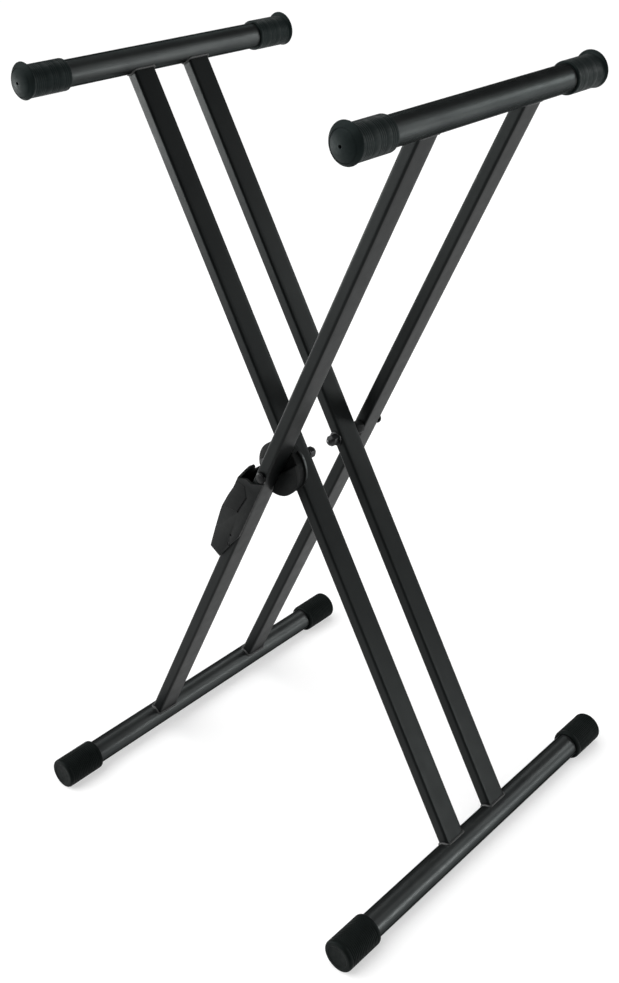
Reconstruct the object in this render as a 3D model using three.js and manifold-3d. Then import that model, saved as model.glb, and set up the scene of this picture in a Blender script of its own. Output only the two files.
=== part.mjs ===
// Folding double-X keyboard stand: two welded steel frames crossing on two pivot bolts,
// with a toothed clutch at the front crossing that a squeeze lever releases.
//
// Millimetres, +Z up. X runs from the left foot to the right foot and Y from the front to
// the back. The origin is on the floor, midway between the four feet.
// The outer frame runs from the left foot up to the right top tube and carries the lever.
// The inner frame runs from the right foot up to the left top tube and turns inside it.

import * as THREE from 'three';
import { mergeVertices } from 'three/addons/utils/BufferGeometryUtils.js';
import Module from 'manifold-3d';

const wasm = await Module();
wasm.setup();

// ---------------------------------------------------------------- driving dimensions

const armTiltDeg = 27.67;        // each frame leans this far from the vertical
const armAbovePivot = 490.5;     // along an arm, pivot bolt to top tube axis
const armBelowPivot = 496.2;     // along an arm, pivot bolt to foot tube axis
const armWidth = 30;             // rectangular tube, along Y
const armDepth = 15;             // rectangular tube, across the lean
const armWall = 1.2;
const armCorner = 3;
const armBoltOffset = 2;         // bolt axis below the middle of the arm's depth
const innerArmY = 41.7;          // inner frame, arm middle to stand middle
const outerArmY = 85;            // outer frame, arm middle to stand middle

const tubeRadius = 15;           // top and foot tubes
const tubeWall = 1.2;
const topTubeHalf = 196;
const footTubeHalf = 245;
const outerTubeShift = -4;       // tubes sit this far along Y from the middle of their arms
const innerTubeShift = -1.5;

const topCapRadius = 17.8;       // rubber sleeve over a top tube's end
const topCapGrip = 51;           // length of tube inside the sleeve
const topCapDome = 8.5;          // from the tube's end to the tip of the dome
const topCapVent = 1.6;          // radius of the hole in the tip
const topCapFaceRadius = 15.6;   // shallow dome inside the rim
const capLipRadius = 20.1;       // thin rim, a circle set off the sleeve's axis
const capLipOffset = 1.8;
const capLipLeanDeg = 8;         // the lip points up and slightly outwards

const footCapRadius = 19;        // rubber sleeve over a foot tube's end
const footCapGrip = 46;
const footCapEnd = 6;            // from the tube's end to the face of the foot
const footCapFaceRadius = 12.5;  // shallow round recess in that face

const boltRadius = 3.8;          // pivot bolt shank
const boltHeadRadius = 7;
const boltHeadHeight = 3;
const washerRadius = 8.5;
const washerThick = 1.5;
const nutRadius = 6.5;           // domed nut, across flats
const nutHex = 6.3;
const nutDome = 6;
const rearSpacerRadius = 8;

const gearTipRadius = 20;        // toothed hub of the clutch; the parts round it follow
const gearRootRadius = gearTipRadius - 2.4;
const gearTeeth = 30;
const gearThick = 6.2;
const flangeRadius = gearTipRadius + 11;     // clutch flange on the inner front arm
const flangeThick = 3;

const housingRadius = gearTipRadius + 12;    // clutch housing on the outer front arm
const housingFloor = 3;
const housingLobeDepth = 6.5;    // how far the right lobe reaches along the arm's side
const housingLeftLobeDepth = 1.3;
const housingWaist = 2.5;        // depth of the groove round the drum, behind the right lobe

const pawlPivot = [-gearTipRadius - 3, -11]; // across and along the outer arm, from the pivot bolt
const pawlThick = 4.4;
const pawlPinRadius = 2.5;
const pawlBossRadius = 4.2;
const pawlBandInner = gearTipRadius + 1.4;   // curved arm of the pawl, radii from the pivot bolt
const pawlBandOuter = pawlBandInner + 4;
const pawlToothTip = gearTipRadius + 0.35;

const leverPinAlong = -120.5;    // along the outer arm, from the pivot bolt
const leverPinRadius = 2;
const leverWall = 2.8;
const leverSideGap = 0.8;        // between a cheek and the arm
const leverPeg = [-18.5, -43];   // pushes the pawl's fork
const leverPegRadius = 2.5;
const forkSlotGap = 0.6;

const gap = 0.3;                 // between pieces that touch
const tubeSides = 40;
const capSides = 32;
const smallSides = 24;

// ---------------------------------------------------------------- derived sizes

const tilt = THREE.MathUtils.degToRad(armTiltDeg);
const lipLean = THREE.MathUtils.degToRad(capLipLeanDeg);
const pivotHeight = footCapRadius + armBelowPivot * Math.cos(tilt) - armBoltOffset * Math.sin(tilt);
const frameShift = -(outerTubeShift + innerTubeShift) / 2; // keeps the feet centred on the origin
const innerFront = -(innerArmY + armWidth / 2);      // face of the inner front arm, towards the front
const innerFrontBack = -(innerArmY - armWidth / 2);
const outerFront = -(outerArmY + armWidth / 2);      // face of the outer front arm, towards the front
const outerFrontBack = -(outerArmY - armWidth / 2);
const armGapLength = innerFront - outerFrontBack;
const boltHole = boltRadius + gap;
const gearFace = innerFront - gap - flangeThick;     // where the flange ends and the teeth begin
const housingFace = gearFace - gap;
const housingBack = outerFrontBack + gap;
const cavityFloor = housingBack + housingFloor;
const armLeft = -armBoltOffset - armDepth / 2;       // faces of the outer arm in its own frame
const armRight = -armBoltOffset + armDepth / 2;
const screwAlong = gearTipRadius + 6;
const screwRadius = 2;
const screwHeadRadius = 3.6;
const screwHeadHeight = 1.8;
const pawlFront = cavityFloor + 0.8;
const pawlBack = pawlFront + pawlThick;
const leverFront = outerFront - leverSideGap - leverWall;
const leverBack = outerFrontBack + leverSideGap + leverWall;

// ---------------------------------------------------------------- materials

const steel = new THREE.MeshStandardMaterial({ color: 0x1d2021, roughness: 0.42, metalness: 0.35 });
const rubber = new THREE.MeshStandardMaterial({ color: 0x1f2423, roughness: 0.8, metalness: 0 });
const plastic = new THREE.MeshStandardMaterial({ color: 0x242626, roughness: 0.55, metalness: 0 });
const fastener = new THREE.MeshStandardMaterial({ color: 0x141515, roughness: 0.35, metalness: 0.7 });
const bareSteel = new THREE.MeshStandardMaterial({ color: 0x8a8c8e, roughness: 0.35, metalness: 0.9 });

// ---------------------------------------------------------------- solids

// A closed solid from a three.js geometry: vertices are merged and empty triangles dropped.
function solidOf(geometry) {
  const plain = geometry.clone();
  plain.deleteAttribute('normal');
  plain.deleteAttribute('uv');
  const merged = mergeVertices(plain, 1e-4);
  const index = merged.index.array;
  const kept = [];
  for (let i = 0; i < index.length; i += 3) {
    const [a, b, c] = [index[i], index[i + 1], index[i + 2]];
    if (a !== b && b !== c && c !== a) kept.push(a, b, c);
  }
  return new wasm.Manifold(new wasm.Mesh({
    numProp: 3,
    vertProperties: new Float32Array(merged.attributes.position.array),
    triVerts: new Uint32Array(kept),
  }));
}

function geometryOf(solid) {
  const mesh = solid.getMesh();
  const geometry = new THREE.BufferGeometry();
  geometry.setAttribute('position', new THREE.BufferAttribute(mesh.vertProperties.slice(), 3));
  geometry.setIndex(new THREE.BufferAttribute(mesh.triVerts.slice(), 1));
  geometry.computeVertexNormals();
  return geometry;
}

function union(...solids) {
  return solids.reduce((whole, piece) => whole.add(piece));
}

// A turned solid about the Y axis. The profile lists [radius, y] pairs, with radii to the
// flats of the facets, and either starts and ends on the axis or closes on itself.
function turned(profile, sides = smallSides) {
  const scale = 1 / Math.cos(Math.PI / sides);
  const points = profile.map(([radius, y]) => new THREE.Vector2(radius * scale, y));
  const geometry = new THREE.LatheGeometry(points, sides, Math.PI / sides, 2 * Math.PI);
  const solid = solidOf(geometry);
  if (solid.volume() > 0) return solid;
  points.reverse();
  return solidOf(new THREE.LatheGeometry(points, sides, Math.PI / sides, 2 * Math.PI));
}

function rod(radius, y0, y1, x = 0, z = 0, sides = smallSides) {
  return turned([[0, y0], [radius, y0], [radius, y1], [0, y1]], sides).translate([x, 0, z]);
}

function sleeve(outer, inner, y0, y1, sides = smallSides) {
  return turned([[inner, y0], [outer, y0], [outer, y1], [inner, y1], [inner, y0]], sides);
}

// A plate between y0 and y1 with the outline given as [across, along] pairs.
function plate(outline, y0, y1) {
  const shape = new THREE.Shape(outline.map(([x, z]) => new THREE.Vector2(x, z)));
  const geometry = new THREE.ExtrudeGeometry(shape, { depth: y1 - y0, bevelEnabled: false });
  geometry.rotateX(Math.PI / 2);
  geometry.translate(0, y1, 0);
  return solidOf(geometry);
}

function block(x0, x1, y0, y1, z0, z1) {
  return plate([[x0, z0], [x1, z0], [x1, z1], [x0, z1]], y0, y1);
}

// A closed solid through a closed loop of rings, each a circle about a line along Y.
// Every row is [y, radius, how far the circle is set towards the lip].
function ringSolid(rows, sides) {
  const scale = 1 / Math.cos(Math.PI / sides);
  const positions = [];
  for (const [y, radius, offset] of rows) {
    for (let i = 0; i < sides; i += 1) {
      const angle = (2 * Math.PI * (i + 0.5)) / sides;
      positions.push(
        radius * scale * Math.sin(angle) + offset * Math.sin(lipLean),
        y,
        radius * scale * Math.cos(angle) + offset * Math.cos(lipLean),
      );
    }
  }
  const index = [];
  for (let row = 0; row < rows.length; row += 1) {
    const next = (row + 1) % rows.length;
    for (let i = 0; i < sides; i += 1) {
      const j = (i + 1) % sides;
      const [a, b] = [row * sides + i, row * sides + j];
      const [c, d] = [next * sides + i, next * sides + j];
      index.push(a, b, d, a, d, c);
    }
  }
  const geometry = new THREE.BufferGeometry();
  geometry.setAttribute('position', new THREE.Float32BufferAttribute(positions, 3));
  geometry.setIndex(index);
  const solid = solidOf(geometry);
  if (solid.volume() > 0) return solid;
  for (let i = 0; i < index.length; i += 3) [index[i + 1], index[i + 2]] = [index[i + 2], index[i + 1]];
  geometry.setIndex(index);
  return solidOf(geometry);
}

// ---------------------------------------------------------------- frames

function roundedRectangle(halfX, halfY, corner) {
  const shape = new THREE.Shape();
  shape.moveTo(halfX - corner, -halfY);
  shape.absarc(halfX - corner, -halfY + corner, corner, -Math.PI / 2, 0);
  shape.absarc(halfX - corner, halfY - corner, corner, 0, Math.PI / 2);
  shape.absarc(-halfX + corner, halfY - corner, corner, Math.PI / 2, Math.PI);
  shape.absarc(-halfX + corner, -halfY + corner, corner, Math.PI, 1.5 * Math.PI);
  return shape;
}

// One arm in its frame's own axes: x across the arm, z along it, the bolt at the origin.
// side is -1 where the middle of the arm lies to the left of the bolt, +1 to the right.
function arm(side, y) {
  const outer = roundedRectangle(armDepth / 2, armWidth / 2, armCorner);
  const innerShape = roundedRectangle(armDepth / 2 - armWall, armWidth / 2 - armWall, armCorner - armWall);
  outer.holes.push(new THREE.Path(innerShape.getPoints(4).reverse()));
  const geometry = new THREE.ExtrudeGeometry(outer, {
    depth: armAbovePivot + armBelowPivot,
    bevelEnabled: false,
    curveSegments: 4,
  });
  geometry.translate(side * armBoltOffset, y, -armBelowPivot);
  const saddle = rod(tubeRadius + gap, y - armWidth, y + armWidth, side * armBoltOffset, 0, tubeSides);
  return solidOf(geometry)
    .subtract(saddle.translate([0, 0, armAbovePivot]))
    .subtract(saddle.translate([0, 0, -armBelowPivot]))
    .subtract(rod(boltHole, y - armWidth, y + armWidth));
}

function outerFrontArm() {
  const pinHole = rod(leverPinRadius + gap, outerFront - 1, outerFrontBack + 1, -armBoltOffset, leverPinAlong);
  const screwHoles = [-1, 1].map((end) => (
    rod(screwRadius + gap, outerFrontBack - armWidth / 2, outerFrontBack + 1, -armBoltOffset, end * screwAlong)
  ));
  return arm(-1, -outerArmY).subtract(pinHole).subtract(union(...screwHoles)).subtract(springRivetHole());
}

function innerFrontArm() {
  const holes = [-1, 1].map((end) => (
    rod(screwRadius + gap, innerFront - 1, innerFront + armWidth / 2, armBoltOffset, end * screwAlong)
  ));
  return arm(1, -innerArmY).subtract(union(...holes));
}

function tube(half) {
  return sleeve(tubeRadius, tubeRadius - tubeWall, -half, half, tubeSides);
}

// ---------------------------------------------------------------- rubber caps

// Top cap at the +Y end of its tube: a sleeve, a thin rim that stands up as a lip, and a
// shallow dome inside a groove.
function topCap() {
  const bore = tubeRadius + gap;
  const mouth = topTubeHalf - topCapGrip;
  const end = topTubeHalf + 2 * gap;
  const tip = topTubeHalf + topCapDome;
  const rim = tip - 7;
  const mouthEdge = [[0, -1.2], [0.6, -0.4], [2.5, 0]];
  const flare = [[-4.6, 0, 0], [-3.4, 0.25, 0.2], [-2.5, 0.75, 0.75], [-1.8, 1, 1]];
  const band = [[-0.9, 0.995, 0.78], [0, 0.975, 0.4], [1, 0.93, 0.15], [2.2, 0.86, 0.03], [3, 0.8, 0]];
  const face = [[2.8, 1], [4, 0.89], [5.4, 0.67], [6.5, 0.38]];
  const rows = [
    ...mouthEdge.map(([y, grow]) => [mouth + y, topCapRadius + grow, 0]),
    ...flare.map(([y, grow, shift]) => (
      [rim + y, topCapRadius + grow * (capLipRadius - topCapRadius), shift * capLipOffset]
    )),
    ...band.map(([y, radius, shift]) => [rim + y, radius * capLipRadius, shift * capLipOffset]),
    ...face.map(([y, radius]) => [rim + y, radius * topCapFaceRadius, 0]),
    [tip, topCapVent, 0],
    [end, topCapVent, 0],
    [end, bore, 0],
    [mouth, bore, 0],
  ];
  return ringSolid(rows, capSides);
}

function footCap() {
  const bore = tubeRadius + gap;
  const mouth = footTubeHalf - footCapGrip;
  const end = footTubeHalf + 2 * gap;
  const face = footTubeHalf + footCapEnd;
  return turned([
    [0, face - 0.5],
    [footCapFaceRadius, face - 0.5],
    [footCapFaceRadius + 0.6, face],
    [footCapRadius - 2.6, face],
    [footCapRadius - 0.9, face - 0.7],
    [footCapRadius, face - 2.8],
    [footCapRadius, mouth + 2.5],
    [footCapRadius - 0.4, mouth + 0.8],
    [footCapRadius - 1.6, mouth],
    [bore, mouth],
    [bore, end],
    [0, end],
  ], capSides);
}

// ---------------------------------------------------------------- pivot bolts

// Bolt along +Y from the outer face of an outer arm: head at the start, shank to the nut.
function pivotBolt() {
  const face = outerFront - gap;
  const end = innerFrontBack + gap + washerThick + gap + nutHex;
  const chamfer = 0.8;
  return turned([
    [0, face - boltHeadHeight],
    [boltHeadRadius - 2 * chamfer, face - boltHeadHeight],
    [boltHeadRadius, face - boltHeadHeight + chamfer],
    [boltHeadRadius, face],
    [boltRadius, face],
    [boltRadius, end],
    [0, end],
  ]);
}

function pivotWasher() {
  const y = innerFrontBack + gap;
  return sleeve(washerRadius, boltHole, y, y + washerThick);
}

// Domed nut with six flats on the free end of a pivot bolt.
function domedNut() {
  const y = innerFrontBack + gap + washerThick + gap;
  const shell = turned([
    [0, y],
    [nutRadius * 1.14, y],
    [nutRadius * 1.14, y + nutHex],
    [nutRadius * 0.94, y + nutHex + 0.3 * nutDome],
    [nutRadius * 0.72, y + nutHex + 0.68 * nutDome],
    [nutRadius * 0.4, y + nutHex + 0.93 * nutDome],
    [0, y + nutHex + nutDome],
  ]);
  const hexagon = rod(nutRadius, y, y + nutHex + nutDome, 0, 0, 6);
  const thread = rod(boltHole, y - 1, y + nutHex + gap);
  return shell.intersect(hexagon).subtract(thread);
}

function rearSpacer() {
  return sleeve(rearSpacerRadius, boltHole, outerFrontBack + gap, innerFront - gap);
}

// ---------------------------------------------------------------- clutch

function gearOutline() {
  const outline = [];
  for (let i = 0; i < gearTeeth; i += 1) {
    const pitch = (2 * Math.PI) / gearTeeth;
    for (const [step, radius] of [[0, gearRootRadius], [0.3, gearTipRadius], [0.55, gearTipRadius], [0.85, gearRootRadius]]) {
      const angle = (i + step) * pitch;
      outline.push([radius * Math.cos(angle), radius * Math.sin(angle)]);
    }
  }
  return outline;
}

// Flange with a toothed hub, fixed to the front face of the inner front arm.
function lockGear() {
  const teeth = plate(gearOutline(), gearFace - gearThick, gearFace + 1);
  const flange = rod(flangeRadius, gearFace, innerFront - gap, 0, 0, 48);
  const seats = [-1, 1].flatMap((end) => [
    rod(screwRadius + gap, gearFace - 1, innerFront, armBoltOffset, end * screwAlong),
    rod(screwHeadRadius + gap, gearFace - 1, gearFace + screwHeadHeight + gap, armBoltOffset, end * screwAlong),
  ]);
  return union(teeth, flange).subtract(union(...seats)).subtract(rod(boltHole, gearFace - 20, innerFront + 5));
}

// Screw towards +Y with its head at y0; side and end place it on an arm's middle line.
function screw(y0, length, side, end) {
  return union(
    rod(screwHeadRadius, y0, y0 + screwHeadHeight, side * armBoltOffset, end * screwAlong),
    rod(screwRadius, y0 + screwHeadHeight - 0.5, y0 + length, side * armBoltOffset, end * screwAlong),
  );
}

function gearScrew(end) {
  return screw(gearFace + gap / 3, 9, 1, end);
}

// Drum-shaped housing that straddles the back of the outer front arm. Its cavity is open
// towards the flange and holds the toothed hub and the pawl.
function clutchHousing() {
  const drum = rod(housingRadius, outerFrontBack - housingLobeDepth, housingFace, 0, 0, 48);
  const armSlot = block(armLeft - 2 * gap, armRight + 1, outerFrontBack - 20, housingBack, -50, 50);
  const leftLobeCut = block(-50, armLeft, outerFrontBack - 20, outerFrontBack - housingLeftLobeDepth, -50, 50);
  const slope = [[armRight, -3], [armRight + 17.5, 33], [armRight + 17.5, 50], [armRight, 50]];
  const slopeCut = plate(slope, outerFrontBack - 20, outerFrontBack - 0.5);
  const waistRing = sleeve(housingRadius + 5, housingRadius - housingWaist, outerFrontBack - 1.5, housingFace - 1, 48);
  const waist = waistRing.intersect(block(armRight + 1, 50, outerFrontBack - 20, housingFace, -50, 50));
  const gearCavity = rod(gearTipRadius + 0.9, cavityFloor, housingFace + 1, 0, 0, 48);
  const pawlBay = rod(housingRadius - 2, cavityFloor, housingFace + 1, 0, 0, 48)
    .intersect(block(-50, -8, cavityFloor, housingFace + 1, -50, 12));
  const armBay = block(pawlPivot[0] - 4.5, -9.5, cavityFloor, housingFace + 1, -19.5, -9);
  const leverNotch = block(-50, -9, outerFrontBack - 20, housingFace + 1, -50, -19.5);
  const pinHole = rod(pawlPinRadius + gap, outerFrontBack - 20, cavityFloor + 1, ...pawlPivot);
  const screwSeats = [-1, 1].flatMap((end) => [
    rod(screwRadius + gap, outerFrontBack - 20, housingFace + 1, -armBoltOffset, end * screwAlong),
    rod(screwHeadRadius + gap, housingFace - 3, housingFace + 1, -armBoltOffset, end * screwAlong),
  ]);
  return drum
    .subtract(armSlot)
    .subtract(leftLobeCut)
    .subtract(slopeCut)
    .subtract(waist)
    .subtract(union(gearCavity, pawlBay, armBay, leverNotch))
    .subtract(pinHole)
    .subtract(union(...screwSeats))
    .subtract(rod(boltHole, outerFrontBack - 20, housingFace + 1));
}

// Screw towards -Y that holds the housing on the back of the outer front arm.
function housingScrew(end) {
  const seat = housingFace - 3 + gap;
  return union(
    rod(screwHeadRadius, seat, seat + screwHeadHeight, -armBoltOffset, end * screwAlong),
    rod(screwRadius, outerFrontBack - 4, seat + 0.5, -armBoltOffset, end * screwAlong),
  );
}

function pawlPin() {
  const head = outerFrontBack - housingLeftLobeDepth - gap;
  return union(
    rod(pawlPinRadius + 1.2, head - 1.2, head, ...pawlPivot),
    rod(pawlPinRadius, head - 0.5, pawlBack, ...pawlPivot),
  );
}

// Rocker that locks the gear: a curved arm with a tooth above its pin and a fork below it.
function lockPawl() {
  const [pinX, pinZ] = pawlPivot;
  const across = leverPeg[0] - pinX;
  const down = leverPeg[1] - pinZ;
  const reach = Math.hypot(across, down);
  const along = [across / reach, down / reach];
  const side = [-along[1], along[0]];
  const at = (distance, offset) => [
    pinX + along[0] * distance + side[0] * offset,
    pinZ + along[1] * distance + side[1] * offset,
  ];
  const strip = (from, to, left, right) => plate(
    [at(from, left), at(to, left), at(to, right), at(from, right)].reverse(),
    pawlFront,
    pawlBack,
  );
  const slotHalf = leverPegRadius + forkSlotGap;
  const lowerArm = strip(0, reach - 5, -3.4, 3.4);
  const fork = strip(reach - 8, reach + 5, -slotHalf - 3, slotHalf + 3);
  const slot = strip(reach - slotHalf, reach + 20, -slotHalf, slotHalf);
  const band = rod(pawlBandOuter, pawlFront, pawlBack, 0, 0, 64)
    .subtract(rod(pawlBandInner, pawlFront - 1, pawlBack + 1, 0, 0, 64))
    .intersect(plate([[0, 0], [-60, -28], [-60, 13]], pawlFront, pawlBack));
  const toothRoot = pawlBandInner + 0.6;
  const toothOutline = [[-toothRoot, 1.5], [-pawlToothTip, 0.4], [-pawlToothTip, -0.4], [-toothRoot, -3]];
  const tooth = plate(toothOutline, pawlFront, pawlBack);
  const boss = rod(pawlBossRadius, pawlFront, pawlBack, pinX, pinZ);
  return union(lowerArm, fork, band, tooth, boss)
    .subtract(slot)
    .subtract(rod(pawlPinRadius + gap, pawlFront - 1, pawlBack + 1, pinX, pinZ));
}

// ---------------------------------------------------------------- release lever

// Side outline of the lever as [across, along] the outer arm, from the pivot bolt.
const leverSpine = [
  [-26.9, -12.5], [-27.1, -41.5], [-29.7, -59.4], [-31.4, -79.8],
  [-30.8, -90.6], [-27.8, -118.9], [-24.2, -147.2],
];
const leverCheekEdge = [[-7, -148.8], [6.3, -97], [6.8, -24], [7, -4], [-6.8, -16.6], [-15.7, -17.3]];

// Channel-shaped lever that straddles the outer front arm, open at its upper end.
function releaseLever() {
  const spineInner = leverSpine.map(([x, z]) => [x + leverWall, z]);
  const [topX] = spineInner[0];
  const outline = [...leverSpine, ...leverCheekEdge, [topX, -23.8], [topX, leverSpine[0][1]]];
  const lowest = spineInner[spineInner.length - 1];
  const openSide = armLeft - 2 * gap;
  const inner = [
    [topX, 20], ...spineInner.slice(1, -1), [lowest[0], lowest[1] + leverWall],
    [openSide, lowest[1] + leverWall - 1], [openSide, -180], [40, -180], [40, 20],
  ];
  const channel = plate(inner, outerFront - leverSideGap, outerFrontBack + leverSideGap);
  const tongue = [
    [leverFront - 1, -24.6], [leverFront, -24.6], [-96, -16.5], [-90, -12.6], [-82, -14],
    [-77.5, -24.6], [leverBack + 1, -24.6], [leverBack + 1, 30], [leverFront - 1, 30],
  ];
  const tongueShape = new THREE.Shape(tongue.map(([y, z]) => new THREE.Vector2(y, z)));
  const tongueCut = new THREE.ExtrudeGeometry(tongueShape, { depth: 20, bevelEnabled: false });
  tongueCut.rotateX(Math.PI / 2);
  tongueCut.rotateZ(Math.PI / 2);
  tongueCut.translate(topX - 20, 0, 0);
  const backCheekCut = block(topX, 60, -86, leverBack + 1, -36, 60)
    .add(block(armRight - 0.5, 60, outerFrontBack, leverBack + 1, -180, 60));
  const pinHole = rod(leverPinRadius + gap, leverFront - 1, leverBack + 1, -armBoltOffset, leverPinAlong);
  const springHole = rod(1.5, leverFront - 1, outerFront, -4.6, -106.5);
  const groove = plate([[-4, -38.3], [-7.6, -68.9], [-9.4, -68.5], [-5.8, -38.7]], leverFront - 1, leverFront + 1);
  const peg = rod(leverPegRadius, leverBack - 1, pawlBack - gap, ...leverPeg);
  return plate(outline, leverFront, leverBack)
    .subtract(channel)
    .subtract(solidOf(tongueCut))
    .subtract(backCheekCut)
    .subtract(pinHole)
    .subtract(springHole)
    .subtract(groove)
    .add(peg);
}

function leverPin() {
  return rod(leverPinRadius, leverFront + gap, leverBack - gap, -armBoltOffset, leverPinAlong);
}

// Leaf spring on the left face of the outer front arm, under the lever, and its rivet.
const springAlong = -96;
const springThick = 0.8;
const springHalfWidth = 5;

function springRivetHole() {
  return turned([[0, -6], [1.8, -6], [1.8, 6], [0, 6]])
    .rotate([0, 0, 90])
    .translate([armLeft, -outerArmY, springAlong]);
}

function leverSpring() {
  const base = armLeft - gap;
  const outline = [
    [base, springAlong - 7], [base, springAlong + 7], [base - 12.5, springAlong + 24],
    [base - 12.5 - springThick, springAlong + 23.5], [base - springThick, springAlong + 6.6],
    [base - springThick, springAlong - 7],
  ];
  return plate(outline, -outerArmY - springHalfWidth, -outerArmY + springHalfWidth).subtract(springRivetHole());
}

function springRivet() {
  const head = armLeft - gap - springThick - gap;
  const profile = [[0, -2], [2.8, -1.2], [2.8, 0], [1.5, 0], [1.5, 5], [0, 5]];
  return turned(profile).rotate([0, 0, -90]).translate([head, -outerArmY, springAlong]);
}

// ---------------------------------------------------------------- assembly

const stand = new THREE.Group();
const outerFrame = new THREE.Group();
const innerFrame = new THREE.Group();
outerFrame.position.set(0, frameShift, pivotHeight);
innerFrame.position.set(0, frameShift, pivotHeight);
outerFrame.rotation.y = tilt;
innerFrame.rotation.y = -tilt;
stand.add(outerFrame, innerFrame);

function addMesh(parent, name, solid, material) {
  const mesh = new THREE.Mesh(geometryOf(solid), material);
  mesh.name = name;
  parent.add(mesh);
  return mesh;
}

function addTurnedOver(parent, name, solid, material) {
  const mesh = addMesh(parent, name, solid, material);
  mesh.rotation.x = Math.PI;
  return mesh;
}

// A tube with a cap on each end, kept level so that its facets face straight up and down.
function addCappedTube(parent, side, along, names, solids) {
  const level = new THREE.Group();
  const shift = parent === outerFrame ? outerTubeShift : innerTubeShift;
  level.position.set(side * armBoltOffset, shift, along);
  level.rotation.y = -parent.rotation.y;
  parent.add(level);
  addMesh(level, names.tube, solids.tube, steel);
  for (const [end, name] of [[-1, names.frontCap], [1, names.rearCap]]) {
    const cap = addMesh(level, name, solids.cap, rubber);
    cap.scale.set(solids.lipSide, end, 1);
  }
}

addMesh(outerFrame, 'outer_arm_front', outerFrontArm(), steel);
addMesh(outerFrame, 'outer_arm_rear', arm(-1, outerArmY), steel);
addMesh(innerFrame, 'inner_arm_front', innerFrontArm(), steel);
addMesh(innerFrame, 'inner_arm_rear', arm(1, innerArmY), steel);

const [topTube, footTube] = [tube(topTubeHalf), tube(footTubeHalf)];
const [topCapSolid, footCapSolid] = [topCap(), footCap()];
addCappedTube(outerFrame, -1, armAbovePivot, {
  tube: 'top_tube_right', frontCap: 'top_cap_right_front', rearCap: 'top_cap_right_rear',
}, { tube: topTube, cap: topCapSolid, lipSide: 1 });
addCappedTube(outerFrame, -1, -armBelowPivot, {
  tube: 'foot_tube_left', frontCap: 'foot_cap_left_front', rearCap: 'foot_cap_left_rear',
}, { tube: footTube, cap: footCapSolid, lipSide: 1 });
addCappedTube(innerFrame, 1, armAbovePivot, {
  tube: 'top_tube_left', frontCap: 'top_cap_left_front', rearCap: 'top_cap_left_rear',
}, { tube: topTube, cap: topCapSolid, lipSide: -1 });
addCappedTube(innerFrame, 1, -armBelowPivot, {
  tube: 'foot_tube_right', frontCap: 'foot_cap_right_front', rearCap: 'foot_cap_right_rear',
}, { tube: footTube, cap: footCapSolid, lipSide: 1 });

addMesh(outerFrame, 'pivot_bolt_front', pivotBolt(), fastener);
addMesh(outerFrame, 'pivot_washer_front', pivotWasher(), fastener);
addMesh(outerFrame, 'domed_nut_front', domedNut(), fastener);
addTurnedOver(outerFrame, 'pivot_bolt_rear', pivotBolt(), fastener);
addTurnedOver(outerFrame, 'pivot_washer_rear', pivotWasher(), fastener);
addTurnedOver(outerFrame, 'domed_nut_rear', domedNut(), fastener);
addTurnedOver(outerFrame, 'rear_spacer', rearSpacer(), plastic);

addMesh(innerFrame, 'lock_gear', lockGear(), bareSteel);
addMesh(innerFrame, 'gear_screw_upper', gearScrew(1), fastener);
addMesh(innerFrame, 'gear_screw_lower', gearScrew(-1), fastener);
addMesh(outerFrame, 'clutch_housing', clutchHousing(), plastic);
addMesh(outerFrame, 'housing_screw_upper', housingScrew(1), fastener);
addMesh(outerFrame, 'housing_screw_lower', housingScrew(-1), fastener);
addMesh(outerFrame, 'lock_pawl', lockPawl(), bareSteel);
addMesh(outerFrame, 'pawl_pin', pawlPin(), fastener);

addMesh(outerFrame, 'release_lever', releaseLever(), plastic);
addMesh(outerFrame, 'lever_pin', leverPin(), fastener);
addMesh(outerFrame, 'lever_spring', leverSpring(), bareSteel);
addMesh(outerFrame, 'spring_rivet', springRivet(), fastener);

export default stand;
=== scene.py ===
"""Folding double-X keyboard stand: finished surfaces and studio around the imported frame."""

import math
import random

import bmesh
import bpy
from mathutils import Matrix, Vector, noise


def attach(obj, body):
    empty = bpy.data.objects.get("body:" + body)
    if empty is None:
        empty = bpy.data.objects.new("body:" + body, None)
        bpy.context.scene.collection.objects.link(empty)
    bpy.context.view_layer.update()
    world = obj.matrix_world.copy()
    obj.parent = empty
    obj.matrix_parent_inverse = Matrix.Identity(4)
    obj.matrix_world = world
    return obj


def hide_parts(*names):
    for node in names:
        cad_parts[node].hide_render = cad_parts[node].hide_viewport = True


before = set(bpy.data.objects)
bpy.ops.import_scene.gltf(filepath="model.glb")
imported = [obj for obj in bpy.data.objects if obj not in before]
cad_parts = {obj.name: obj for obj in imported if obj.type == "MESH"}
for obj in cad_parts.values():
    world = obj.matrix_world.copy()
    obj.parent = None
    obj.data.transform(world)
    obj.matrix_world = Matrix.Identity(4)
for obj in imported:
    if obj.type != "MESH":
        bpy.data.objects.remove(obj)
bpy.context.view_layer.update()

# ------------------------------------------------------------------ sizes, in metres

MM = 0.001
TILT = math.radians(27.67)  # each frame leans this far from the vertical
ABOVE = 490.5 * MM  # along an arm, pivot bolt to top tube axis
BELOW = 496.2 * MM  # along an arm, pivot bolt to foot tube axis
BOLT_OFFSET = 2.0 * MM  # bolt axis below the middle of the arm's depth
ARM_WIDTH = 30 * MM
ARM_DEPTH = 15 * MM
ARM_CORNER = 2.6 * MM
INNER_Y = 41.7 * MM  # middle of each arm, from the stand's middle
OUTER_Y = 85.0 * MM
TUBE_R = 15 * MM
TUBE_WALL = 1.2 * MM
TOP_HALF = 196 * MM
FOOT_HALF = 245 * MM
OUTER_TUBE_SHIFT = -4 * MM  # tubes along Y, from the middle of their arms
INNER_TUBE_SHIFT = -1.5 * MM
FRAME_SHIFT = -(OUTER_TUBE_SHIFT + INNER_TUBE_SHIFT) / 2
TOP_CAP_R = 17.8 * MM
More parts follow.
